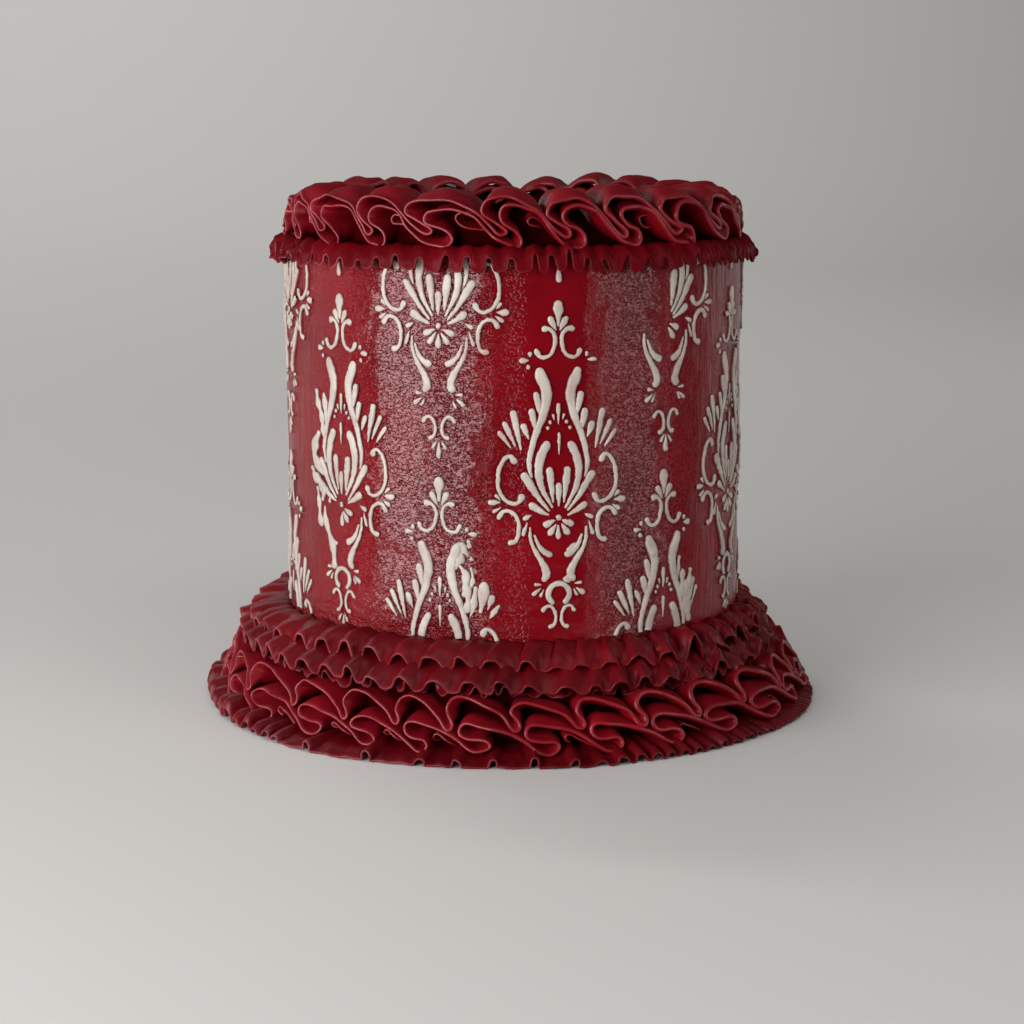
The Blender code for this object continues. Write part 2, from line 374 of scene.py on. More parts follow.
# Lit and shaded copies of one buttercream: the scrolls' is its colour raised a little as painted light for
# their dark cavities; the ruffles' and skirts' are darker as painted shade, the top skirt's for the
# border's overhang; the core's is near black as painted shadow deep in the folds
PIPED = piped_icing("piped maroon icing", (0.122, 0.0013, 0.0048), (0.172, 0.0020, 0.0068), 0.24, 0.28)
SHADED = piped_icing("shade-painted maroon icing", (0.080, 0.0009, 0.0031), (0.118, 0.0014, 0.0046), 0.28, 0.15,
                     dulled=0.08, kept=1.1)
TUCKED = piped_icing("shadowed maroon icing", (0.068, 0.0008, 0.0026), (0.100, 0.0012, 0.0039), 0.28, 0.14,
                     dulled=0.08, kept=1.1)
OVERHANG_SHADED = piped_icing("overhang-shade maroon icing", (0.064, 0.0007, 0.0024), (0.094, 0.0010, 0.0036), 0.32, 0.04)
FOLD_SHADOW = piped_icing("shadow-painted icing in the folds", (0.022, 0.0003, 0.0009), (0.032, 0.0004, 0.0013), 0.60, 0.0)
IVORY = ivory_icing()


# The cake's body

# Radius and height of the rings from the top edge to the middle
TOP_RINGS = [(77.1, 157.4), (76.4, 157.85)]
TOP_RINGS += [(radius, 158.0) for radius in (75.4, 70.0, 62.0, 52.0, 40.0, 26.0, 12.0, 0.6)]


def make_body():
    around = 320
    heights = np.concatenate([[0.0, 12.0, 24.0], np.linspace(33.0, 156.6, 60)])
    angle = np.arange(around) * TAU / around
    a, z = np.meshgrid(angle, heights, indexing="ij")
    uneven = 0.16 * wobble(a, z, 21, 9, 2, 14) + 0.06 * wobble(a, z, 22, 12, 18, 46)
    radius = BODY_RADIUS - 0.05 + uneven * eased((z - 30.0) / 8.0)
    rings = [to_space(a, radius, z)]
    for r, h in TOP_RINGS:
        swirl = 0.13 * np.sin(3.0 * angle + r * 0.35) + 0.08 * wobble(angle, r, 23, 6, 2, 9)
        swirl = swirl * eased((76.0 - r) / 6.0) * eased((r - 11.0) / 24.0)
        rings.append(to_space(angle, r, h + swirl)[:, None])
    grid = np.concatenate(rings, axis=1)
    columns = grid.shape[1]
    quads = grid_quads(around, columns, closed_columns=False)
    caps = [tuple(i * columns for i in range(around))[::-1],
            tuple(i * columns + columns - 1 for i in range(around))]
    mesh_piece("smooth_body", grid.reshape(-1, 3), quads[:, ::-1], SMOOTH,
               ("cake_body",), extra=caps)


# Scroll rows

def unit_edges(units, front, seed):
    """Angles between the units of a row: these degrees at the front, uneven shares of the rest behind."""
    edges = [math.radians(degrees) for degrees in front]
    gap = edges[0] + TAU - edges[-1]
    draw = random.Random(seed)
    widths = [1.0 + 0.10 * draw.uniform(-1.0, 1.0) for _ in range(units - len(edges) + 1)]
    for width in widths:
        edges.append(edges[-1] + gap * (width / sum(widths)))
    return np.array(edges)


def angles_at(edges, places):
    """The angles of places that are counted in units."""
    turns, rest = np.divmod(places, len(edges) - 1)
    index = rest.astype(int)
    return TAU * turns + edges[index] + (rest - index) * (edges[index + 1] - edges[index])


# The waves of one unit: places along it and shares of the row's height
TOP_OUTER = ((0.0, .72), (.05, .87), (.14, .96), (.405, 1.0), (.67, .92), (.89, .75), (1.09, .45),
             (1.25, .26), (1.33, .24), (1.40, .31), (1.33, .40), (1.14, .55), (1.03, .645))
TOP_INNER = ((.263, .65), (.34, .775), (.51, .81), (.67, .79), (.89, .68), (1.037, .415), (1.184, .195),
             (1.3, .11), (1.42, .05), (1.574, .01), (1.642, .16), (1.553, .33), (1.405, .425), (1.3, .525))
TOP_TONGUE = ((1.08, .30), (.95, .36), (.78, .38), (.66, .43), (.60, .52), (.62, .62), (.72, .67),
              (.88, .60), (1.04, .46))
BASE_OUTER = ((0.0, .78), (.03, .92), (.13, 1.03), (.28, 1.04), (.52, .94), (.80, .76), (.93, .60),
              (.99, .44), (1.07, .39), (1.13, .47), (1.10, .60), (1.03, .69))
BASE_INNER = ((.20, .34), (.22, .45), (.31, .53), (.48, .53), (.89, .41), (1.20, .20), (1.40, .01),
              (1.53, -.06), (1.67, .00), (1.72, .11), (1.64, .21), (1.50, .22), (1.38, .23), (1.25, .26))
BASE_TONGUE = ((1.26, -.08), (1.12, .05), (.96, .17), (.84, .27), (.75, .29), (.69, .22), (.72, .13),
               (.80, .06))


def folded_line(row, wave, seed):
    """A ribbon's line round the whole row: angle and share of the height."""
    draw = np.random.default_rng(seed)
    units = len(row["edges"]) - 1
    wave = np.array(wave)
    rows = []
    for k in range(units):
        tall, lift, lean = draw.normal(1.0, 0.05), draw.normal(0.0, 0.018), draw.normal(0.0, 0.05)
        u = wave[:, 0] + lean * (wave[:, 1] - 0.5) + draw.normal(0.0, 0.011, len(wave))
        v = 0.5 + (wave[:, 1] - 0.5) * tall + lift + draw.normal(0.0, 0.012, len(wave))
        rows.append(np.stack([u + k, v], axis=1))
    line = np.vstack(rows)
    line = np.vstack([line[-3:] - (units, 0.0), line, line[:3] + (units, 0.0)])
    line = np.column_stack([angles_at(row["edges"], line[:, 0]), line[:, 1]])
    dense = spline(line, 10)[3 * 10:-2 * 10]
    even = respaced(dense, row["spacing"], np.array(row["size"]))[:-1]
    even[:, 0] = smoothed_turn(even[:, 0], 1.0)
    even[:, 1] = smoothed(even[:, 1], 1.0)
    return even


def depth_steps(count, power):
    return (np.arange(count) / (count - 1)) ** power


def height_in(row, t, v, angle):
    """The height in a row at this depth and share of its height."""
    return row["low"] + (row["high"] - row["low"]) * v + row["lift"](t, v) - row["drop"](v, angle)


def fold_surface(line, row, steps):
    """The centre surface of a folded ribbon, from its rim inward."""
    mean_angle = smoothed_turn(line[:, 0], row["soften"])
    mean_v = smoothed(line[:, 1], row["soften"])
    columns = []
    for t in steps:
        fold = row["fold"](t)
        angle = mean_angle + (line[:, 0] - mean_angle) * fold
        v = mean_v + (line[:, 1] - mean_v) * fold
        radius = row["rim"](line[:, 1], line[:, 0]) * (1.0 - t) + row["root"] * t
        height = height_in(row, t, v, angle)
        radius = radius + 0.35 * wobble(angle, height, row["seed"], 8, 20, 60) * (1.0 - 0.5 * t)
        height = height + 0.30 * wobble(angle, radius, row["seed"] + 1, 8, 12, 50)
        columns.append(to_space(angle, radius, height))
    return np.stack(columns, axis=1)


def sheet_half(steps, rim, root, reach):
    """Half a sheet's thickness at each step, from its rim to its root."""
    return rim + (root - rim) * eased(steps / reach)


def part_way(t, start, end):
    return float(eased((t - start) / (end - start)))


def held(v):
    return np.clip(v, 0.0, 1.1)


# Rings of the cores: radius, height, and the share by which it follows the arches instead
TOP_CORE = ((64.8, 166.0, 0.92), (66.2, 168.0, 1.0), (67.8, 168.0, 0.95), (69.6, 165.0, 0.0),
            (71.5, 162.0, 0.0), (72.0, 157.0, 0.0), (62.6, 157.0, 0.0), (63.2, 163.0, 0.0))
BASE_CORE = ((78.8, 26.8, 0.0), (83.0, 24.2, 0.0), (86.0, 20.0, 0.2), (87.5, 12.0, 0.3), (90.0, 7.5, 0.0),
             (91.5, 4.0, 0.0), (79.3, 4.0, 0.0))
TOP_ROW = {
    "names": ("top_scrolls", "top_scroll_core", "top_scroll_border"),
    "rim": lambda v, a: (78.6 - 0.9 * v * v + 0.5 * wobble(a, 0.0, 41, 6, 5, 30)
                         - (1.0 + 1.2 * held(v) ** 2) * np.sin(a) ** 8),
    "root": 60.5, "low": 158.4, "high": 174.7, "soften": 23.5, "seed": 43,
    "fold": lambda t: (1.0 - 0.20 * part_way(t, 0.0, 0.17) - 0.16 * part_way(t, 0.17, 0.62)
                       + 0.26 * part_way(t, 0.62, 1.0)),
    "lift": lambda t, v: (4.8 * held(v) ** 2.2
                          * math.sin(math.pi * min(1.0, max(0.0, t - 0.05) / 1.07))),
    "drop": lambda v, a: ((1.0 + 2.4 * held(v) ** 1.2) * eased(1.1 * (1.0 - np.cos(a)) - 0.15)
                          + (1.6 + 0.3 * np.sin(a)) * held(v) * np.sin(a) ** 8),
    "arch": ((0.0, .05, .14, .405, .67, .89, 1.0), (.36, .64, .86, .97, .82, .52, .36)),
    "edges": unit_edges(23, (-57.3, -39.1, -26.3, -6.95, 7.4, 21.4, 36, 53.3), 11),
    "spacing": 0.94, "size": (78.0, 15.7), "depth": 11, "thick": (0.30, 0.90), "both_rims": True,
    "tongue": TOP_TONGUE, "recess": 3.2, "often": 0.7, "core": TOP_CORE, "sway": 0.35,
}
BASE_ROW = {
    "names": ("base_scrolls", "base_scroll_core", "base_scroll_border"),
    "rim": lambda v, a: (101.4 - 5.8 * v + 0.7 * wobble(a, 0.0, 51, 6, 5, 40)
                         + 1.3 * np.clip(-np.sin(a), 0.0, 1.0) ** 4
                         - 1.9 * v * np.clip(np.sin(a), 0.0, 1.0) ** 4),
    "root": 81.0, "low": 3.9, "high": 18.5, "soften": 18.4, "seed": 53,
    "fold": lambda t: 1.0 - 0.40 * part_way(t, 0.0, 0.24) - 0.08 * part_way(t, 0.24, 1.0),
    "lift": lambda t, v: 0.8 * held(v) * math.sin(math.pi * min(1.0, t)),
    "drop": lambda v, a: 0.0,
    "arch": ((0.0, .07, .24, .52, .89, 1.0), (.70, .92, 1.0, .92, .68, .62)),
    "edges": unit_edges(30, (-62.3, -47.2, -33.7, -22.6, -12.7, -0.5, 11.8, 23.7, 35.7, 48.9, 63.8), 13),
    "spacing": 0.98, "size": (98.0, 14.6), "depth": 10, "thick": (0.34, 1.10), "both_rims": False,
    "tongue": BASE_TONGUE, "recess": 4.0, "often": 0.6, "core": BASE_CORE, "sway": 0.7,
}
BASE_ROW_WITHIN = {
    **BASE_ROW, "fold": lambda t: 1.0 - 0.38 * part_way(t, 0.0, 0.9),
    "lift": lambda t, v: 2.0 * held(v) * math.sin(math.pi * min(1.0, t)),
}
CORE_GAP = 3.0


def add_tongues(builder, row, seed, steps, half, shade):
    """Short tongues of icing set back between the folds, in most of the units."""
    draw = np.random.default_rng(seed)
    tongue = np.array(row["tongue"])
    for k in range(len(row["edges"]) - 1):
        size = draw.uniform(0.55, 1.05)
        if draw.random() > row["often"]:
            continue
        middle = tongue.mean(axis=0) + (draw.normal(0.0, 0.04), draw.normal(0.0, 0.02))
        points = middle + (tongue - tongue.mean(axis=0)) * size + draw.normal(0.0, 0.008, tongue.shape)
        line = np.column_stack([angles_at(row["edges"], points[:, 0] + k), points[:, 1]])
        even = respaced(spline(line, 8), 0.9, np.array((78.0, 16.0)))
        angles, shares = even[:, 0], even[:, 1]
        ends = np.linspace(-1.0, 1.0, len(even)) ** 4
        back = row["recess"] * draw.uniform(0.4, 1.0) * (1.0 + 0.9 * ends)
        columns = []
        for t in steps:
            fold = 1.0 - 0.45 * t
            angle = angles.mean() + (angles - angles.mean()) * fold
            v = shares.mean() + (shares - shares.mean()) * fold
            radius = (row["rim"](shares, angles) - back) * (1.0 - t) + row["root"] * t
            columns.append(to_space(angle, radius, height_in(row, t, v, angle)))
        sheet(builder, np.stack(columns, axis=1), half, shade, closed=False)


def add_core(builder, row, seed):
    """The icing behind the folds, whose top keeps under the arches."""
    place = np.arange(30 * (len(row["edges"]) - 1)) / 30.0
    angle = angles_at(row["edges"], place)
    arch = np.interp(place % 1.0, *row["arch"])
    mean_arch = smoothed(arch, 30.0)
    rim = row["rim"](arch, angle).mean()
    rings = []
    for radius, height, top in row["core"]:
        t = (rim - radius) / (rim - row["root"])
        v = mean_arch + (arch - mean_arch) * row["fold"](t)
        under = height_in(row, t, v, angle) - CORE_GAP
        uneven = radius + row["sway"] * wobble(angle, height * 3.0, seed, 6, 8, 40)
        rings.append(to_space(angle, uneven, height + (under - height) * top))
    builder.add(np.stack(rings, axis=1)[:, ::-1])


def make_scrolls(row, ribbons, seed):
    """One border: its ribbons, its tongues and the core behind them."""
    builder, core = Builder(), Builder()
    steps = depth_steps(row["depth"], 1.25)
    half = sheet_half(steps, *row["thick"], 0.35)
    # shade is the painted highlight along the rims, fading over the first steps inward; the tongues get 0.7
    # of it
    shade = np.clip(1.0 - steps / 0.06, 0.0, 1.0) * 0.55
    for k, (wave, ribbon) in enumerate(ribbons):
        surface = fold_surface(folded_line(ribbon, wave, seed + k), ribbon, steps)
        sheet(builder, surface, half, shade, both_rims=row["both_rims"], lips=(1.0 - steps) ** 2)
    add_tongues(builder, row, seed + 2, steps[:8] * 0.8, half[:8], 0.7 * shade[:8])
    add_core(core, row, seed + 3)
    name, core_name, node = row["names"]
    # The core is in near-black icing: painted shadow deep in the folds
    core.piece(core_name, FOLD_SHADOW, "piped_red_icing", (node,))
    builder.piece(name, PIPED, "piped_red_icing", (node,))


# Ruffles

# The two shapes of a crest: places across it and how far they rise
LOOP = ((-1.25, .03), (-1.02, .28), (-.90, .64), (-.52, .94), (0.0, 1.0), (.52, .94), (.90, .64),
        (1.02, .28), (1.25, .03))
SWELL = ((-.98, .03), (-.74, .26), (-.62, .50), (-.50, .74), (-.28, .96), (0.0, 1.0), (.30, .95),
         (.56, .74), (.70, .48), (.84, .24), (1.04, .03))
RIM_SPACING = 0.70


def wave_bounds(ruffle, draw):
    """Where the waves begin and end, in millimetres along the edge: measured at the front, drawn behind."""
    edge = ruffle["edge"][0]
    bounds = [math.radians(degrees) * edge for degrees in ruffle["front"]]
    gap = bounds[0] + TAU * edge - bounds[-1]
    widths = []
    while sum(widths) < gap:
        angle = (bounds[-1] + sum(widths)) / edge
        slack = value_at(ruffle["uneven"], angle) * draw.uniform(-1.0, 1.0)
        widths.append(value_at(ruffle["pitch"], angle) * (1.0 + slack))
    widths = np.array(widths) * gap / sum(widths)
    return np.concatenate([bounds, bounds[-1] + np.cumsum(widths)])


def ruffle_rim(ruffle):
    """A ruffle's rim: angle, how far it rises, and place counted in waves. Each crest is a rounded loop."""
    draw = np.random.default_rng(ruffle["seed"])
    edge = ruffle["edge"][0]
    bounds = wave_bounds(ruffle, draw)
    widths = np.diff(bounds)
    rows = []
    for k, (start, wide) in enumerate(zip(bounds, widths)):
        turn = (start + 0.5 * wide) / edge
        crest, swing, vary, lean = (value_at(ruffle[key], turn)
                                    for key in ("crest", "swing", "vary", "lean"))
        crest = min(crest * draw.uniform(0.8, 1.2), 0.40 * wide)
        tall = swing * min(1.5, max(0.25, draw.normal(1.0, vary)))
        lean = lean + draw.normal(0.0, ruffle["sway"])
        middle = start + 0.5 * wide + draw.normal(0.0, 0.04) * (wide - 2.0 * crest)
        rows.append((start, draw.uniform(-0.04, 0.08) * tall - ruffle["belly"], k))
        for across, rise in ruffle["loop"]:
            place = k + 0.5 + across * crest / wide
            rows.append((middle + crest * across + lean * rise, rise * tall, place))
    rows = np.array(rows)
    wrap = (TAU * edge, 0.0, len(widths))
    rows = np.vstack([rows[-3:] - wrap, rows, rows[:3] + wrap])
    rows[:, 0] = rows[:, 0] / edge
    dense = spline(rows, 6)[3 * 6:-2 * 6]
    even = respaced(dense, RIM_SPACING, np.array((edge, 1.0)))[:-1]
    even[:, 0] = smoothed_turn(even[:, 0], 0.6)
    even[:, 1] = smoothed(even[:, 1], 0.6)
    return even


# The two sizes of crumple: depth, slant, seed, number of waves, and their fewest and most turns
CRUMPLES = ((1.0, 5.0, 105, 10, 30, 90), (0.45, 9.0, 107, 12, 90, 180))


def make_ruffle(name, node, ruffle, icing):
    """A frilled band whose waves are free at the edge and flatten into narrow pleats towards its root."""
    line = ruffle_rim(ruffle)
    seed, pitch = ruffle["seed"], TAU / line[-1, 2]
    calm_angle = smoothed_turn(line[:, 0], 5.4)
    calm_wave = smoothed(line[:, 1], ruffle["calm"])
    twist = value_at(ruffle["twist"], calm_angle) * pitch
    share = (line[:, 2] + 0.82) % 1.0
    pleat = np.where(share < 0.16, eased(share / 0.16), 1.0 - (share - 0.16) / 0.84) - 0.5
    steps = depth_steps(12, 1.15)
    (root_radius, root_height), (edge_radius, edge_height) = ruffle["root"], ruffle["edge"]
    columns = []
    for t in steps:
        free, soft = 1.0 - t, part_way(t, 0.0, 0.5)
        a = calm_angle + (line[:, 0] - calm_angle) * (1.0 - soft) + twist * t
        crumpled = value_at(ruffle["crumple"], a)
        wave = (line[:, 1] * (1.0 - soft) + calm_wave * soft) * free ** ruffle["fade"]
        wave = wave * (1.0 - value_at(ruffle["tuck"], a) * max(0.0, 1.0 - t / 0.14) ** 2)
        radius = root_radius + (edge_radius - root_radius) * free ** ruffle["bow"][0]
        radius = radius + value_at(ruffle["out"], a) * wave + value_at(ruffle["reach"], a) * free
        radius = radius + 0.45 * wobble(a, 0.0, seed + 103, 6, 4, 26) * free
        height = root_height + (edge_height - root_height) * free ** ruffle["bow"][1] + wave
        height = height + value_at(ruffle["sag"], a) + ruffle["pleats"] * pleat * part_way(t, 0.02, 0.4)
        height = height + ruffle["uphill"] * wobble(a, 0.0, seed + 104, 6, 4, 22) * (1.0 - 0.5 * t)
        for deep, slant, first, *waves in CRUMPLES:
            radius = radius + deep * crumpled * wobble(a, slant * t, seed + first, *waves) * free
            rough = deep * crumpled * wobble(a, slant * t, seed + first + 1, *waves)
            height = height + rough * (1.0 - 0.4 * t)
        columns.append(to_space(a, radius, height))
    surface = np.stack(columns, axis=1)
    half = sheet_half(steps, *ruffle["thick"], 0.4)
    surface[..., 2] = np.maximum(surface[..., 2], half + 0.06)
    builder = Builder()
    # Painted highlight along the rim, fading over the first steps inward
    sheet(builder, surface, half, np.clip(1.0 - steps / 0.07, 0.0, 1.0) * 0.5)
    builder.piece(name, icing, "piped_red_icing", (node,))


# Values that change round the cake are pairs of degrees and value. Root and edge are radius and height,
# pitch and crest the width of a wave and half that of its crest, swing its height, and bow and fade the
# curve of the band and of its waves from edge to root.
LEVEL = ((0, 0),)
RUFFLE = {"vary": ((0, 0.22),), "lean": LEVEL, "sway": 0.35, "twist": LEVEL, "sag": LEVEL, "reach": LEVEL,
          "tuck": LEVEL, "belly": 0.0, "loop": LOOP}
FRILL = {**RUFFLE, "thick": (0.38, 0.9), "out": ((0, 0.15),), "calm": 3.0, "loop": SWELL}
TOP_SKIRT = {
    **RUFFLE, "seed": 3, "front": (-180,), "uneven": ((0, 0.35),), "belly": 0.7,
    "root": (76.4, 158.8), "edge": (81.8, 152.5), "bow": (0.60, 1.25), "thick": (0.30, 0.80),
    "out": ((0, -0.10),), "fade": 0.7, "pleats": 0.4, "calm": 2.4, "uphill": 0.30,
    "pitch": ((-180, 6), (-90, 7), (-60, 8), (-30, 7.6), (-12, 7.4), (0, 6.4), (10, 5), (18, 5.4),
              (28, 7.5), (42, 6), (50, 2.6), (75, 2.2), (100, 4), (150, 6)),
    "crest": ((-180, 1.4), (-60, 1.3), (0, 1.25), (15, 1.2), (30, 1.1), (50, 0.6), (80, 0.55), (120, 1.2)),
    "swing": ((-180, 3.5), (-60, 3), (-30, 3.2), (0, 4.2), (14, 5), (28, 2.8), (45, 2.6), (55, 1.5),
              (80, 1.3), (120, 3)),
    "sag": ((-180, -1.2), (-90, -2), (-50, -0.4), (0, 0), (50, -0.4), (90, -2)),
    "crumple": ((-180, 0.3), (-110, 0.5), (-90, 1.1), (-65, 0.9), (-50, 0.3), (15, 0.1), (30, 0.5),
                (70, 0.4), (90, 0.8), (110, 0.3)),
}
UPPER_FRILL = {
    **FRILL, "seed": 5, "root": (77.0, 33.0), "edge": (88.6, 26.6), "bow": (0.80, 1.6),
    "front": (-65, -56.5, -48.4, -41.2, -34.8, -27.8, -20.8, -13.1, -7.8, -1, 6.4, 11.5, 17.2, 23, 30.5,
              37.5, 45, 51.5),
    "uneven": ((0, 0.16), (35, 0.16), (50, 0.4), (110, 0.4), (130, 0.16)),
    "vary": ((-180, 0.12), (25, 0.12), (40, 0.32), (110, 0.32), (130, 0.12)),
    "pitch": ((-180, 10.4), (40, 10), (52, 7), (80, 6), (110, 7.5), (130, 10.4)),
    "crest": ((0, 4.3),), "fade": 0.90, "pleats": 1.3, "uphill": 0.40,
    "swing": ((-180, 5), (-60, 5.4), (-40, 5.2), (-25, 4.2), (-16, 3.6), (-8, 4.5), (4, 4.3), (9, 1.5),
              (18, 1.7), (24, 2.8), (29, 5), (45, 4.6), (80, 3.8), (130, 5)),
    "lean": ((-180, 0.3), (-90, 0.5), (-35, 0.5), (-20, -0.9), (-8, -0.7), (20, -0.5), (45, 0)),
    "twist": ((-180, 0.2), (-60, 0.1), (-32, 0.15), (-15, 0.5), (20, 0.5), (45, 0.3)),
    "sag": ((-180, 0.4), (-130, 0.4), (-90, -3.8), (-55, -0.5), (0, 0), (40, -0.8), (90, -3), (140, 0.4)),
    "reach": ((-180, 0), (-90, 2.2), (-45, 0), (45, 0), (90, -4.4), (140, 0)),
    "crumple": ((-180, 0.3), (-60, 0.3), (15, 0.25), (26, 0.45), (32, 0.9), (60, 1.5), (110, 1.2),
                (150, 0.25)),
}
LOWER_FRILL = {
    **FRILL, "seed": 7, "root": (77.4, 28.6), "edge": (93.6, 20.4), "bow": (0.75, 1.45),
    "front": (-62, -56.4, -50.3, -43.7, -37, -31.8, -25.5, -18.9, -12.2, -4.9, 0.1, 6.9, 13.8, 18.2, 24.3,
              29.5, 36.2, 43, 50),
    "uneven": ((0, 0.18), (35, 0.18), (50, 0.4), (110, 0.4), (130, 0.18)),
    "vary": ((-180, 0.14), (25, 0.14), (40, 0.32), (110, 0.32), (130, 0.14)),
    "pitch": ((-180, 10.2), (40, 9.6), (52, 7), (80, 6), (110, 7.5), (130, 10.2)),
    "crest": ((0, 4),), "fade": 1.0, "pleats": 0.6, "uphill": 0.45,
    "swing": ((-180, 4.6), (-60, 4.8), (-30, 4.2), (0, 4), (12, 2.6), (30, 3.6), (60, 4.4), (85, 3.6),
              (130, 4.6)),
    "lean": ((-180, 0), (-90, -0.3), (-45, -0.4), (0, -0.6), (30, -0.4), (90, 0)),
    "twist": ((-180, 0.2), (-60, 0.1), (-32, 0.2), (-15, 0.5), (20, 0.5), (45, 0.3)),
    "sag": ((-100, 0), (0, 0), (80, -1.6), (130, 0)),
    "reach": ((-180, 0), (-90, 1), (-45, 0), (45, 0), (90, -6.4), (140, 0)),
    "crumple": ((-180, 0.25), (-60, 0.2), (15, 0.25), (32, 0.8), (60, 1.4), (110, 1.2), (150, 0.25)),
}
INNER_FRILL = {
    **LOWER_FRILL, "seed": 11, "front": (-180,), "root": (78.5, 25.6), "edge": (91.4, 18.8),
    "uneven": ((0, 0.45),), "vary": ((0, 0.45),), "pitch": ((0, 7.2),), "crest": ((0, 2.6),),
    "swing": ((0, 2.8),), "lean": LEVEL, "sway": 0.9, "thick": (0.28, 0.7),
    "reach": ((-180, 0), (-90, 0), (45, 0), (90, -5), (140, 0)),
    "crumple": ((-180, 0.6), (-70, 0.7), (0, 0.8), (60, 1.2), (120, 0.8)),
}
BASE_SKIRT = {
    **RUFFLE, "seed": 9, "front": (-44, -30.6, -19.7, -12.7, -6.8, 0, 6.9, 13, 17, 20.5),
    "uneven": ((0, 0.3),), "root": (79.0, 3.6), "edge": (104.6, 0.45), "bow": (0.75, 1.0), "sway": 0.4,
    "thick": (0.34, 0.9), "fade": 0.35, "pleats": 0.0, "calm": 1.0, "uphill": 0.0,
    "pitch": ((-180, 9), (-95, 9.6), (-74, 9.2), (-60, 6.4), (-46, 4.8), (20, 5), (52, 3.9), (60, 2.8),
              (78, 3), (86, 8), (110, 9)),
    "crest": ((-180, 2.8), (-95, 3), (-74, 2.8), (-60, 2), (-46, 1.6), (-38, 1.5), (10, 1.4), (22, 1.5),
              (52, 1.3), (60, 0.9), (80, 1), (86, 2.4), (110, 2.8)),
    "swing": ((-180, 4.4), (-95, 5.6), (-60, 5.2), (-46, 4.2), (-38, 2.2), (0, 2.4), (25, 2.4), (50, 2),
              (58, 1), (75, 0.7), (84, 1.6), (92, 4), (110, 4.2)),
    "out": ((-180, 0.25), (-95, 0.3), (-50, 0.3), (-40, -0.15), (20, -0.15), (30, 0.1), (80, 0.1),
            (92, 0.25)),
    "reach": ((-180, 0), (-95, 1.2), (-75, 1.6), (-55, 2.2), (-42, 4.2), (-30, 4.8), (-12, 3.6), (0, 2.6),
              (25, 2.6), (45, 2.4), (70, 0.6), (90, -1.6), (110, 0)),
    "crumple": ((-180, 0.3), (0, 0.3), (90, 0.2)),
    "tuck": ((-180, 0.5), (-50, 0.5), (-42, 0), (14, 0), (24, 0.25), (60, 0.3), (110, 0.5)),
}


# Stencilled ornaments, in millimetres from the hub of the flower in each

def trail(*stations):
    """A stroke through these stations: x, y and width."""
    return np.array(stations, float)


def drop(tail, head, width):
    """A teardrop, narrow at its tail and round at its head."""
    shares = np.array((0.0, 0.35, 0.7, 1.0))[:, None]
    places = tail + np.subtract(head, tail) * shares
    return np.column_stack([places, width * np.array((0.24, 0.62, 0.93, 0.96))])


def dot(x, y, radius):
    return trail((x, y - 0.05, 2 * radius), (x, y + 0.05, 2 * radius))


def curl(width, first, last, *places):
    """A stroke of one width with round blobs of these radii at its ends."""
    stations = trail(*((x, y, width) for x, y in places))
    stations[0, 2], stations[-1, 2] = 2 * first, 2 * last
    return stations


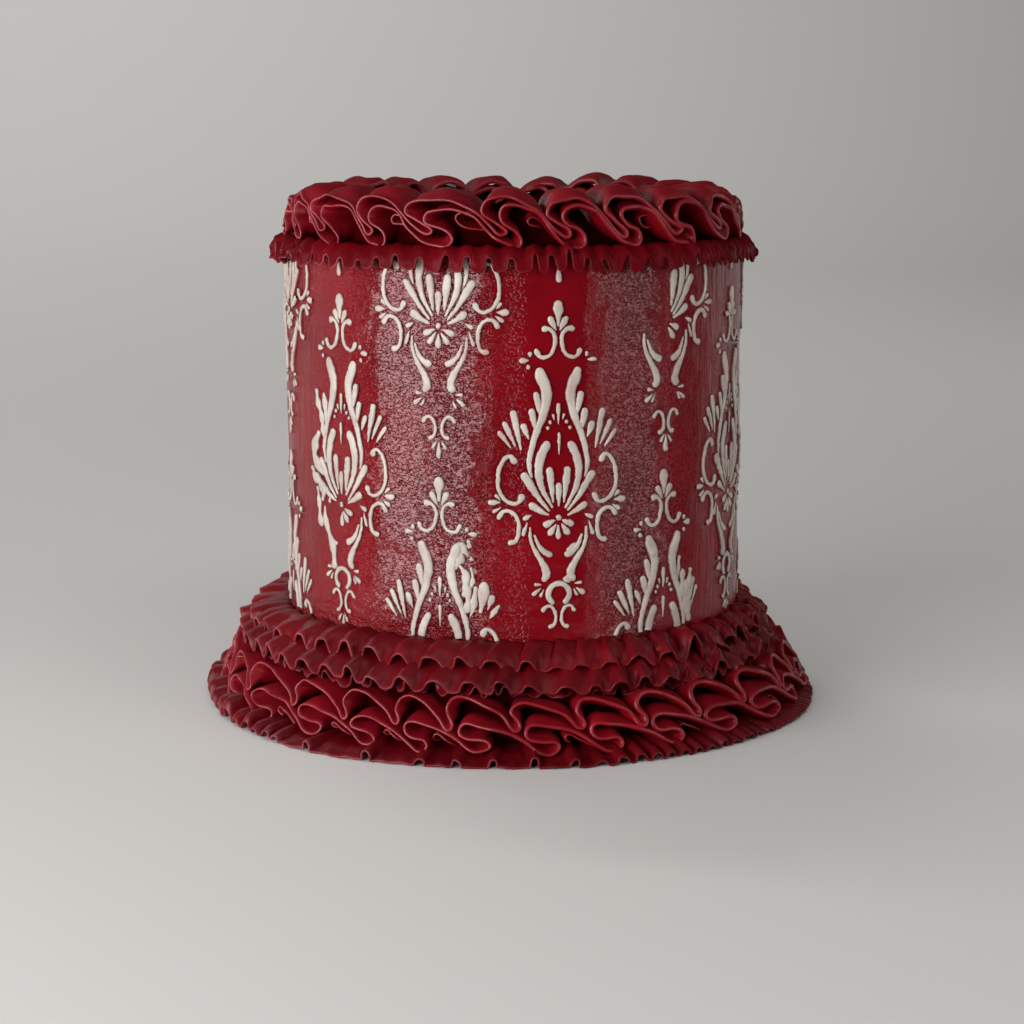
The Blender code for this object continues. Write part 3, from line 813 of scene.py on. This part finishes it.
CENTRE_STROKES = {
    "finial": (trail((0, 61.2, 1), (0, 63.6, 1.9), (0, 65.6, 3.3), (0, 66.6, 3.7), (0, 67.2, 3.5)),),
    "dots": (drop((0, 30), (0, 35.8), 1.5), drop((0, 20.2), (0, 26.6), 1.2)),
    "palmette": (drop((0, 3.7), (0, 10), 2.4),),
    "flower": (dot(0, 0, 0.9), drop((0, -2.6), (0, -6.1), 2.1)),
    "tip": (drop((0, -36.8), (0, -41.2), 1.9),),
}
SIDE_STROKES = {
    "finial": (
        drop((0.75, 59.6), (2.35, 62.8), 2.4),
        curl(1.35, 1.2, 0.9, (4.2, 60), (3, 60), (1.6, 58.8), (1.1, 57), (1.3, 54.6), (2.3, 52.2),
             (4.2, 51), (6, 51.4), (6.9, 53))),
    "finial dots": (dot(9.1, 52, 0.75), drop((9.4, 50.3), (11.2, 50.3), 2.1), dot(9.4, 48, 0.7)),
    "leaf": (
        trail((6, 46.3, 3), (5.5, 44.6, 3.7), (4.4, 42.3, 3.6), (3.8, 39.5, 3.4), (4.1, 36, 3.1),
              (5.3, 31.5, 2.6), (7, 27.5, 2.2), (8.5, 22.5, 1.9), (9.3, 18.5, 1.7), (9.2, 15.5, 1.3),
              (8.6, 13, 0.7)),),
    "lobes": (drop((5.6, 32), (7, 39), 2.6), drop((7.2, 27.5), (8.5, 33.7), 2.5),
              drop((9.4, 25.6), (10.9, 29.4), 2.3)),
    "fan": (drop((12, 22), (14.3, 33.4), 2.3), drop((13.6, 23), (16.9, 30), 2),
            drop((15.3, 22.3), (18.7, 27), 1.7)),
    "dots": (drop((1.4, 31.2), (1.75, 32.7), 0.9), dot(2.7, 30.5, 0.6), dot(3.4, 28.6, 0.55)),
    "palmette": (
        drop((1.8, 5), (2.9, 15), 2.8),
        trail((2.2, 3.3, 0.8), (4, 6.5, 1.4), (5.8, 10.5, 2.1), (6.5, 15.5, 2.7), (5.6, 20, 3),
              (4.1, 23.2, 2.8)),
        trail((3.1, 2.2, 0.8), (6.3, 6.2, 1.7), (8.8, 10.2, 2.6), (10.7, 13.2, 3)),
        trail((3.3, 0.9, 0.8), (6, 2.3, 1.9), (8.2, 3.8, 2.8))),
    "upper scroll": (
        curl(1.45, 1.25, 1.15, (14.2, 18.4), (15.2, 19.8), (17.2, 18.8), (18.7, 15.7), (19.2, 12.2),
             (18.9, 9), (17.2, 6), (14.7, 4.6), (12.7, 5), (11.8, 6.6)),),
    "scroll dots": (drop((18.6, 5.8), (19.8, 7.2), 1.4), drop((18.8, 4.8), (21.4, 4.8), 2.3),
                    drop((18.2, 3.4), (20.2, 2.1), 1.5)),
    "lower scroll": (
        curl(1.5, 1.05, 1.15, (18.9, 0.5), (17.6, 2.2), (15.5, 2.2), (13.6, 0.6), (12.8, -2.3), (12.9, -5),
             (13.7, -7.2), (15.2, -7.8)),),
    "flower": (drop((8.8, 0.7), (10.6, -0.2), 1.8), drop((10, -1.7), (11.2, -5.4), 1.4),
               drop((1, -2.3), (2.8, -4.9), 2.1), drop((1.5, -1), (4.1, -2.1), 2.4)),
    "tail": (
        trail((9, -3.5, 0.8), (8.9, -7, 1.3), (7.6, -10.6, 1.6), (5.8, -13.6, 2.1), (4.4, -16.2, 2.7),
              (3.8, -18.6, 3), (4.3, -19.6, 2.8)),
        trail((7.7, -5.8, 0.8), (6.3, -9.3, 1.5), (4.4, -11.2, 2.2), (3.2, -11.8, 2.4))),
    "tail drops": (drop((5.5, -21.6), (7.2, -21.4), 1.3), drop((5.8, -23), (7.9, -24.6), 1.7),
                   drop((4.9, -23.4), (5.8, -25.2), 1.1)),
    "foot": (
        curl(1.2, 0.8, 0.85, (5, -30), (3.9, -28.7), (2.3, -29), (1.2, -31), (1, -33.3), (1.7, -34.9),
             (2.7, -35.4)),),
    "foot drops": (drop((0.8, -36.6), (2, -38.5), 1.3),),
}
HORSESHOE = trail(*((3.4 * math.cos(turn), -24.6 + 3.4 * math.sin(turn), 1.8)
                    for turn in np.radians(np.linspace(-50.0, 230.0, 13))))


def on_side(side, *groups):
    return [(group, side) for group in groups]


# Where the stencil slipped: column and hub of the ornament, the groups missing on a side, and what is
# there instead
SLIPS = {
    (1, 73.8): (
        on_side(-1, "fan", "lobes", "upper scroll", "lower scroll", "flower", "tail", "scroll dots"),
        (trail((-13.2, 36, 1.6), (-12.6, 32.5, 2.6), (-10.6, 29, 2.2), (-9.6, 24.5, 2.8), (-8.8, 21, 1.6)),
         trail((-9, 35, 1.8), (-8.2, 31, 2.6), (-7.6, 27, 2.2)),
         trail((-12.6, 21.6, 3), (-14.6, 18.6, 3.4), (-15.2, 14.6, 3.8), (-13, 11.6, 3.4), (-10.6, 9.6, 3)),
         trail((-16.6, 10, 2), (-14.8, 7.6, 3), (-11.6, 6.2, 3.8), (-9.6, 3.4, 3), (-10.2, 0.8, 2)),
         trail((-13.4, 3.4, 1.6), (-12.4, -0.8, 2.2), (-12.2, -4.6, 2.4), (-11.4, -7.6, 3.2)),
         trail((-9.4, -2.4, 1.4), (-8.8, -6.4, 2.4), (-7, -10.4, 3), (-5.4, -13.2, 3.2), (-4.4, -17.2, 3.4),
               (-4.2, -20.6, 3)),
         trail((-6, -12.6, 1.6), (-3.4, -13.2, 2.2)), dot(-6.4, 0.6, 0.9))),
    (2, 17.8): (
        on_side(1, "lobes", "fan") + on_side(-1, "upper scroll"),
        (trail((5.6, 46, 3), (7.6, 45.8, 3.4), (9, 44.2, 2)), dot(9.6, 47, 0.9), dot(10.4, 42.4, 0.7),
         trail((7.2, 45, 2), (6.6, 42.6, 3), (5.6, 40, 2.4)),
         trail((6.6, 40.2, 1.6), (8.4, 37.8, 2.6), (8.6, 34, 2.2), (8.2, 31.4, 2.6)),
         trail((10.2, 39.6, 0.8), (10.8, 36.4, 1.2), (10.2, 33.6, 1.6)),
         trail((8.4, 34.6, 2.4), (9.4, 30, 2.8), (9, 25.8, 2.4)),
         trail((11.6, 33, 1.8), (11.2, 29.4, 2.6), (10.6, 26.4, 1.8), (10, 24.4, 1)),
         trail((14.4, 34, 2.9), (14.2, 30.4, 3), (13.4, 26, 2)),
         drop((15.4, 26.6), (16.9, 30.4), 2.1), drop((16.4, 23.4), (18.9, 27), 1.9))),
    (3, 73.8): (
        on_side(1, "finial dots", "foot drops") + on_side(0, "tip") + on_side(-1, "foot drops"),
        (dot(9.1, 52, 0.75), drop((9.4, 50.3), (11.2, 50.3), 2.1),
         trail((6.6, -8.4, 1), (5.4, -9.6, 2), (3.4, -10.4, 2.2)),
         trail((4.2, -17.4, 2.2), (2.8, -20.2, 2.4)))),
    (4, 17.8): (
        on_side(1, "lobes", "fan", "upper scroll"),
        (drop((6.4, 31), (7.2, 38.4), 2.2), trail((8.6, 34, 1.8), (8.4, 30, 2.6), (8.2, 26, 3)),
         trail((10.4, 30, 2.2), (10, 26.6, 3.4), (10.6, 22, 4.4), (11.6, 18.6, 3.6)),
         trail((12.6, 33.6, 2), (11.8, 28, 2.4), (11.2, 24, 2.8)), drop((12.6, 22.6), (14.6, 30.6), 1.7),
         drop((13, 21.6), (15.8, 27.6), 1.5))),
    (4, 134.3): (
        on_side(-1, "palmette", "upper scroll", "lower scroll", "scroll dots", "flower", "leaf", "lobes",
                "fan", "dots") + on_side(0, "palmette", "flower", "dots") + on_side(1, "dots"), ()),
}


def slips_of(column, hub):
    """What went wrong in this ornament; the highest ones show only their lowest drop under the border."""
    if hub > 180.0:
        return on_side(-1, "foot", "foot drops") + on_side(1, "foot", "foot drops"), ()
    return SLIPS.get((column, hub), ((), ()))


# Across a stroke: place as a share of half its width, and height as a share of its own
SECTION = np.array(((-1.0, -0.5), (-0.98, 0.40), (-0.86, 0.84), (-0.45, 1.0), (0.45, 1.0), (0.86, 0.84),
                    (0.98, 0.40), (1.0, -0.5)))
# Painted contact shade across a stroke: dark red on its sides, where it meets the body
STROKE_EDGE_SHADE = np.array((1.0, 0.7, 0.12, 0.0, 0.0, 0.12, 0.7, 1.0))
ROUND_END = np.radians((72.0, 38.0))
STROKE_SPACING = 0.80
# Heights between which the ornaments show, from the upper frill to the top border
SHOWN = (33.6, 157.0)


def stroke_grid(stations, draw, centre, hub, lumps):
    """A rounded stroke of icing along its stations, cut off at the borders."""
    dense = spline(stations, 6 if len(stations) > 2 else 2)
    line = respaced(dense, STROKE_SPACING, np.array((1.0, 1.0)))
    first, last = 0.5 * line[0, 2], 0.5 * line[-1, 2]
    along = unit(np.gradient(line[:, :2], axis=0))
    rows = [(line[0, :2] - along[0] * first * math.sin(s), line[0, 2] * math.cos(s), along[0])
            for s in ROUND_END]
    rows += [(p[:2], p[2], d) for p, d in zip(line, along)]
    rows += [(line[-1, :2] + along[-1] * last * math.sin(s), line[-1, 2] * math.cos(s), along[-1])
             for s in ROUND_END[::-1]]
    places, width, along = (np.array(column) for column in zip(*rows))
    width = width * draw.uniform(0.88, 1.04)
    inside = (places[:, 1] + hub > SHOWN[0]) & (places[:, 1] + hub < SHOWN[1])
    if inside.sum() < 4:
        return None
    places, width, along = places[inside], width[inside], along[inside]
    count = len(places)
    ripple = 1.0 + lumps * np.sin(np.arange(count) * draw.uniform(0.5, 1.1) + draw.uniform(0.0, TAU))
    width = width * ripple
    body_width = np.maximum(line[:, 2].max(), 1.0)
    tall = min(0.80, 0.34 + 0.15 * body_width) * draw.uniform(0.8, 1.2)
    height = tall * np.clip((width / (0.62 * body_width)), 0.0, 1.0) ** 0.6
    height = height * draw.normal(1.0, 0.08, count)
    side = np.stack([along[:, 1], -along[:, 0]], axis=1)
    share, rise = SECTION.T
    ragged = draw.normal(0.0, 0.07, (count, 2))[:, (share > 0.0).astype(int)] * np.abs(share)
    spread = 0.5 * width[:, None] * share + ragged * np.clip(width, 0.0, 1.2)[:, None]
    across = places[:, None, :] + side[:, None, :] * spread[..., None]
    lift = np.where(rise > 0.0, rise * height[:, None], rise)
    angle = centre + across[..., 0] / BODY_RADIUS
    return to_space(angle, BODY_RADIUS + lift, across[..., 1] + hub)


def add_ornament(builder, draw, column, centre, hub):
    tilt = draw.normal(0.0, 0.006)
    missing, extra = slips_of(column, hub)
    placed = [(stroke, 1.0, 0.05) for group, strokes in CENTRE_STROKES.items() for stroke in strokes
              if (group, 0) not in missing]
    placed += [(stroke, sign, 0.05) for group, strokes in SIDE_STROKES.items() for stroke in strokes
               for sign in (-1, 1) if (group, sign) not in missing]
    placed += [(stroke, 1.0, 0.35) for stroke in extra]
    if column % 2:
        placed.append((HORSESHOE, 1.0, 0.05))
    for stroke, sign, lumps in placed:
        stroke = stroke.copy()
        stroke[:, 0] = stroke[:, 0] * sign + tilt * stroke[:, 1] + draw.normal(0.0, 0.10)
        stroke[:, 1] += draw.normal(0.0, 0.10)
        grid = stroke_grid(stroke, draw, centre, hub, lumps)
        if grid is not None:
            builder.add(grid, STROKE_EDGE_SHADE, closed_rows=False)


def make_ornaments():
    """Twelve columns: the six at the front as measured, the rest evenly behind."""
    builders = (Builder(), Builder())
    pitch = math.radians(28.2)
    back = (TAU - pitch * 5) / 7
    centre = math.radians(-74.0)
    for column in range(12):
        draw = np.random.default_rng(300 + column)
        for hub in ((17.8, 134.3), (73.8, 190.3))[column % 2]:
            add_ornament(builders[column % 2], draw, column, centre, hub)
        centre += pitch if column < 5 else back
    for builder, name in zip(builders, ("ivory_ornaments_high", "ivory_ornaments_low")):
        builder.piece(name, IVORY, "ivory_icing", ("cake_body",))


# The stage, the lights and the camera

def make_backdrop():
    profile = [(-3.0, 0.0), (1.6, 0.0)]
    profile += [(1.6 + 0.8 * math.sin(turn), 0.8 - 0.8 * math.cos(turn))
                for turn in np.radians(np.arange(10, 91, 10))]
    profile += [(2.4, 3.6)]
    points = [(x, y, z) for y, z in profile for x in (-4.0, 4.0)]
    quads = [(2 * i, 2 * i + 1, 2 * i + 3, 2 * i + 2) for i in range(len(profile) - 1)]
    mesh = bpy.data.meshes.new("backdrop")
    mesh.from_pydata(points, [], quads)
    mesh.shade_smooth()
    made, tree, shader = new_material("pale backdrop")
    feed(tree, shader, {"Base Color": (0.54, 0.525, 0.505), "Roughness": 0.75})
    mesh.materials.append(made)
    backdrop = linked("backdrop", mesh)


def add_light(name, place, aim, width, height, power, colour=(1.0, 1.0, 1.0)):
    light = bpy.data.lights.new(name, "AREA")
    light.shape = "RECTANGLE"
    light.size, light.size_y = width, height
    light.energy = power
    light.color = colour
    lamp = linked(name, light)
    lamp.location = place
    lamp.rotation_euler = (Vector(aim) - lamp.location).to_track_quat("-Z", "Y").to_euler()
    lamp.visible_camera = False


# Name, azimuth and distance of the middle, width, lowest and highest edge, radiance, colour
PANELS = (
    ("left window", -43.0, 0.90, 0.86, 0.005, 0.48, 10.2, (1.0, 1.0, 1.0)),
    ("left wall", -108.0, 1.10, 0.90, 0.01, 0.80, 0.7, (1.0, 0.99, 0.98)),
    ("right window", 57.0, 0.95, 0.54, 0.005, 0.55, 3.1, (1.0, 0.99, 0.98)),
    ("right wall", 122.0, 1.10, 0.90, 0.01, 0.80, 0.5, (1.0, 0.99, 0.98)),
)


def make_lights():
    world = bpy.data.worlds.new("soft room")
    bpy.context.scene.world = world
    world.use_nodes = True
    tree = world.node_tree
    feed(tree, tree.nodes["Background"], {"Color": (0.95, 0.97, 1.0), "Strength": 0.07})
    for name, azimuth, distance, wide, low, high, radiance, colour in PANELS:
        turn = math.radians(azimuth)
        middle = 0.5 * (low + high)
        place = (distance * math.sin(turn), -distance * math.cos(turn), middle)
        power = radiance * math.pi * wide * (high - low)
        add_light(name, place, (0.0, 0.0, middle), wide, high - low, power, colour)
    add_light("ceiling panel", (-0.2, 0.1, 1.6), (0.0, 0.0, 0.1), 1.6, 1.6, 2.3)
    add_light("front ceiling panel", (0.45, -0.90, 1.5), (0.0, 0.0, 0.1), 1.2, 0.8, 5.2)
    add_light("backdrop lamp", (-0.9, 1.3, 1.9), (-0.5, 2.3, 0.5), 1.4, 0.4, 27.0)


# The photo's focal length and width in pixels, and how many degrees its camera looks down
FOCAL_LENGTH = 2500.0
FRAME_WIDTH = 1024.0
LOOK_DOWN = 10.706


def make_camera():
    bpy.context.scene.view_settings.view_transform = "Standard"
    camera = bpy.data.cameras.new("camera")
    camera.sensor_width = 36.0
    camera.lens = FOCAL_LENGTH / FRAME_WIDTH * camera.sensor_width
    seat = linked("camera", camera)
    seat.location = (-0.0005, -0.854, 0.2225)
    seat.rotation_euler = (math.radians(90.0 - LOOK_DOWN), 0.0, 0.0)
    bpy.context.scene.camera = seat


make_body()
make_ornaments()
# The ruffles take darker copies of the icing as painted shade: the top skirt for the border's overhang, the
# frills and the base skirt for the shade low round the body
make_ruffle("top_skirt", "top_skirt_ruffle", TOP_SKIRT, OVERHANG_SHADED)
make_scrolls(TOP_ROW, ((TOP_OUTER, TOP_ROW), (TOP_INNER, TOP_ROW)), 61)
make_ruffle("base_upper_frill", "base_upper_ruffle", UPPER_FRILL, SHADED)
make_ruffle("base_lower_frill", "base_lower_ruffle", LOWER_FRILL, TUCKED)
make_ruffle("base_inner_frill", "base_lower_ruffle", INNER_FRILL, TUCKED)
make_scrolls(BASE_ROW, ((BASE_OUTER, BASE_ROW), (BASE_INNER, BASE_ROW_WITHIN)), 71)
make_ruffle("base_skirt", "base_skirt_ruffle", BASE_SKIRT, TUCKED)
make_backdrop()
make_lights()
make_camera()
